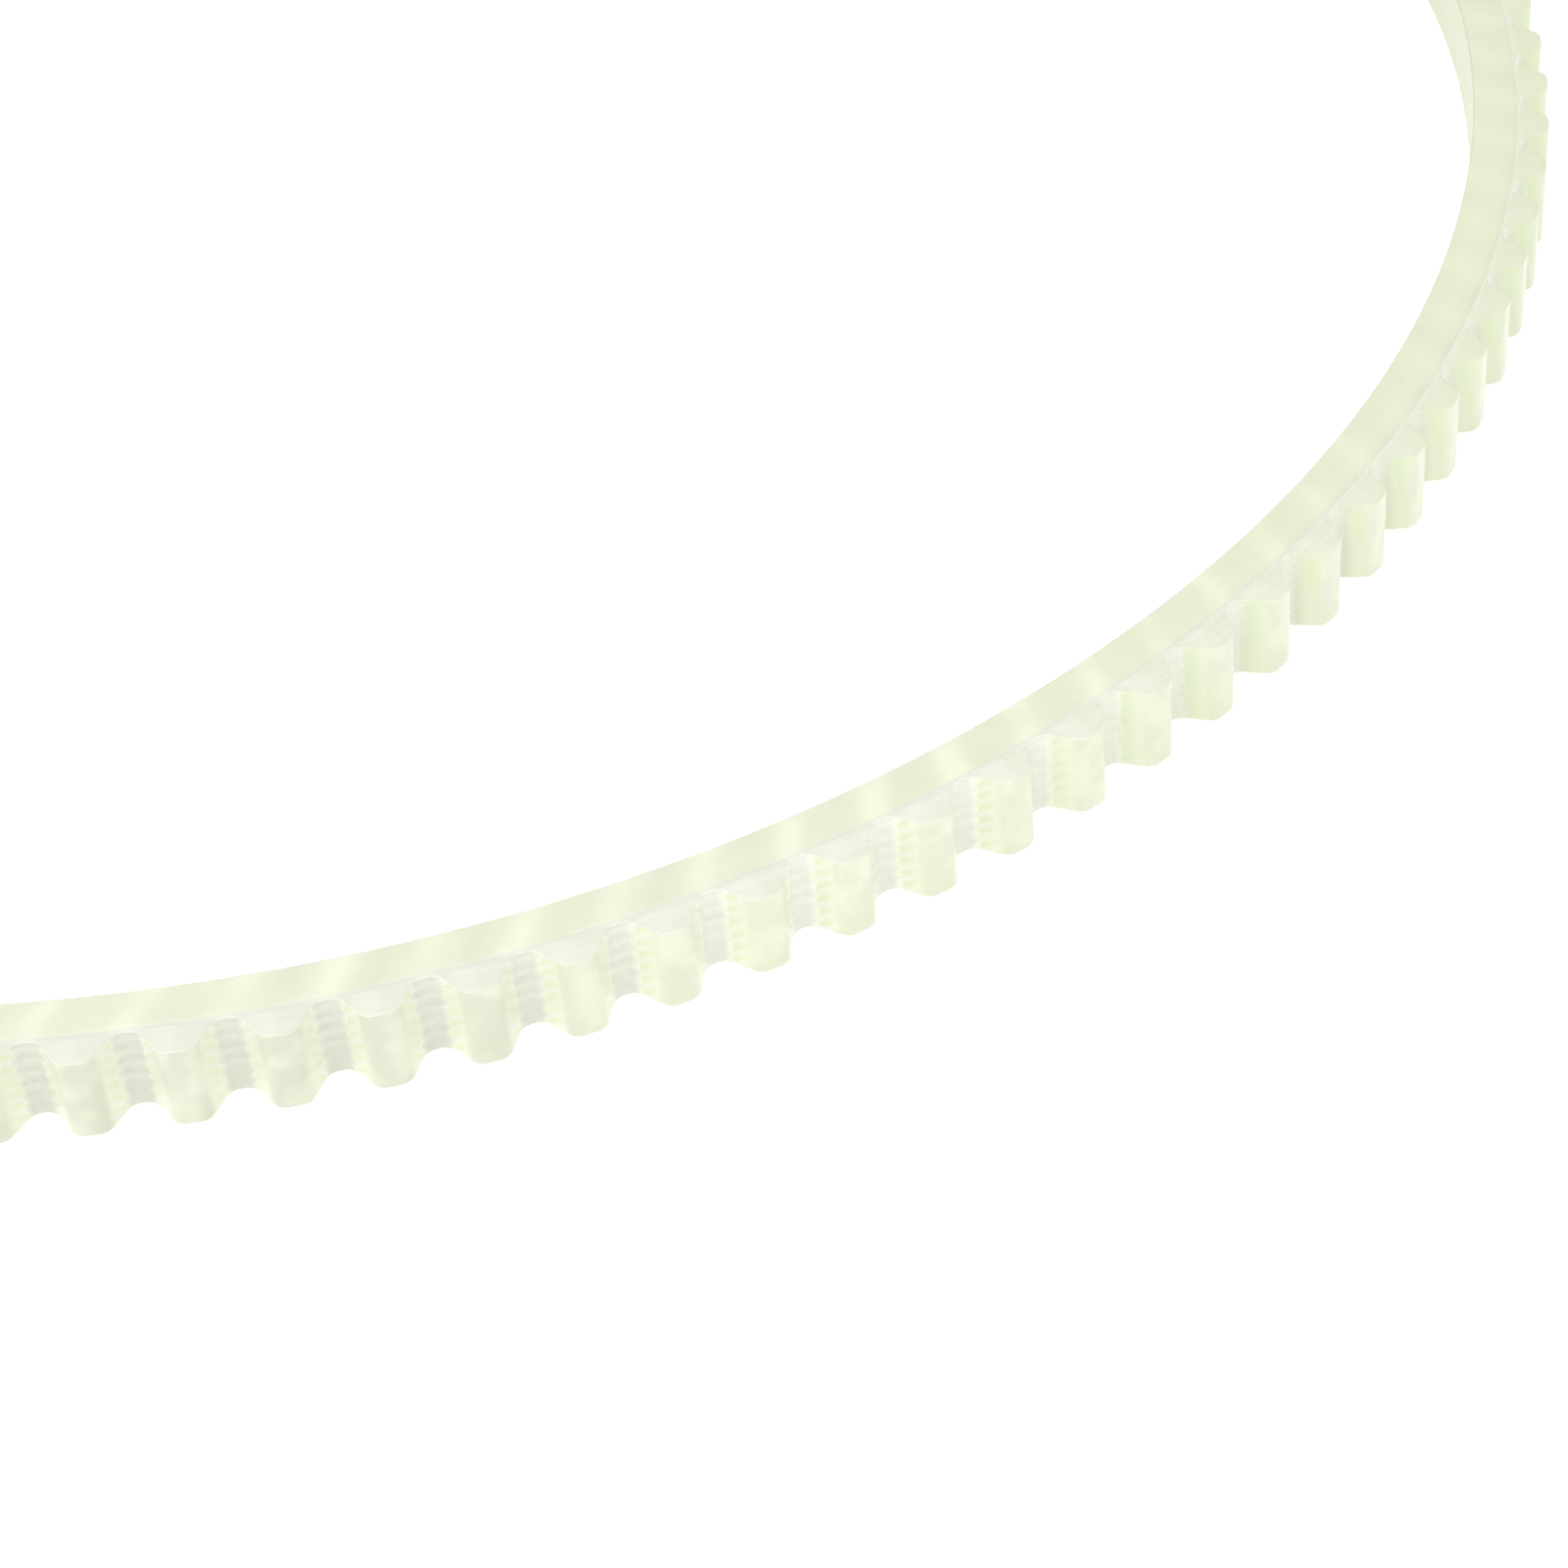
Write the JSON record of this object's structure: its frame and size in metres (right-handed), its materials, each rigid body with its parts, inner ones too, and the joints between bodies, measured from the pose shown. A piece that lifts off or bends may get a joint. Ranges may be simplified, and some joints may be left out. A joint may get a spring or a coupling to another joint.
{
  "type": "timing belt",
  "caption": "Endless synchronous belt loop standing on its edge, rounded teeth outward, thick smooth backing inward, tension cords between them.",
  "frame": {"origin": "centre of the loop, on the plane that the lower edge of the belt stands on", "axes": "+Z along the loop's axis and across the belt's width; +X from the centre through a groove between two teeth"},
  "size_m": [0.1832, 0.1832, 0.0052],
  "materials": {
    "backing_pu": "satin translucent yellow-green cast polyurethane",
    "tooth_pu": "satin translucent pale yellow-green cast polyurethane",
    "cord_steel": "fine stranded steel cord"
  },
  "bodies": {
    "front_left": {"backing_front_left": "backing_pu", "tooth_layer_front_left": "tooth_pu", "tension_cord_1_front_left": "cord_steel", "tension_cord_2_front_left": "cord_steel", "tension_cord_3_front_left": "cord_steel", "tension_cord_4_front_left": "cord_steel", "tension_cord_5_front_left": "cord_steel", "tension_cord_6_front_left": "cord_steel"},
    "rear_left": {"backing_rear_left": "backing_pu", "tooth_layer_rear_left": "tooth_pu", "tension_cord_1_rear_left": "cord_steel", "tension_cord_2_rear_left": "cord_steel", "tension_cord_3_rear_left": "cord_steel", "tension_cord_4_rear_left": "cord_steel", "tension_cord_5_rear_left": "cord_steel", "tension_cord_6_rear_left": "cord_steel"},
    "front_right": {"backing_front_right": "backing_pu", "tooth_layer_front_right": "tooth_pu", "tension_cord_1_front_right": "cord_steel", "tension_cord_2_front_right": "cord_steel", "tension_cord_3_front_right": "cord_steel", "tension_cord_4_front_right": "cord_steel", "tension_cord_5_front_right": "cord_steel", "tension_cord_6_front_right": "cord_steel"},
    "rear_right_near": {"backing_rear_right_near": "backing_pu", "tooth_layer_rear_right_near": "tooth_pu", "tension_cord_1_rear_right_near": "cord_steel", "tension_cord_2_rear_right_near": "cord_steel", "tension_cord_3_rear_right_near": "cord_steel", "tension_cord_4_rear_right_near": "cord_steel", "tension_cord_5_rear_right_near": "cord_steel", "tension_cord_6_rear_right_near": "cord_steel"},
    "rear_right_far": {"backing_rear_right_far": "backing_pu", "tooth_layer_rear_right_far": "tooth_pu", "tension_cord_1_rear_right_far": "cord_steel", "tension_cord_2_rear_right_far": "cord_steel", "tension_cord_3_rear_right_far": "cord_steel", "tension_cord_4_rear_right_far": "cord_steel", "tension_cord_5_rear_right_far": "cord_steel", "tension_cord_6_rear_right_far": "cord_steel"}
  },
  "joints": [
    {"name": "flex_left", "type": "hinge", "parent": "front_left", "child": "rear_left", "pos_m": [-0.08913, 0, 0.0026], "axis": [0, 0, 1], "range_deg": [-30, 30], "stiffness_Nm_per_rad": 0.01},
    {"name": "flex_front", "type": "hinge", "parent": "front_left", "child": "front_right", "pos_m": [0, -0.08913, 0.0026], "axis": [0, 0, 1], "range_deg": [-30, 30], "stiffness_Nm_per_rad": 0.01},
    {"name": "flex_right", "type": "hinge", "parent": "front_right", "child": "rear_right_near", "pos_m": [0.08913, 0, 0.0026], "axis": [0, 0, 1], "range_deg": [-30, 30], "stiffness_Nm_per_rad": 0.01},
    {"name": "flex_rear", "type": "hinge", "parent": "rear_left", "child": "rear_right_far", "pos_m": [0, 0.08913, 0.0026], "axis": [0, 0, 1], "range_deg": [-30, 30], "stiffness_Nm_per_rad": 0.01}
  ],
  "couplings": [
    {"joint": "flex_front", "follows": "flex_left", "ratio": 1},
    {"joint": "flex_right", "follows": "flex_left", "ratio": -1},
    {"joint": "flex_rear", "follows": "flex_left", "ratio": -1}
  ]
}
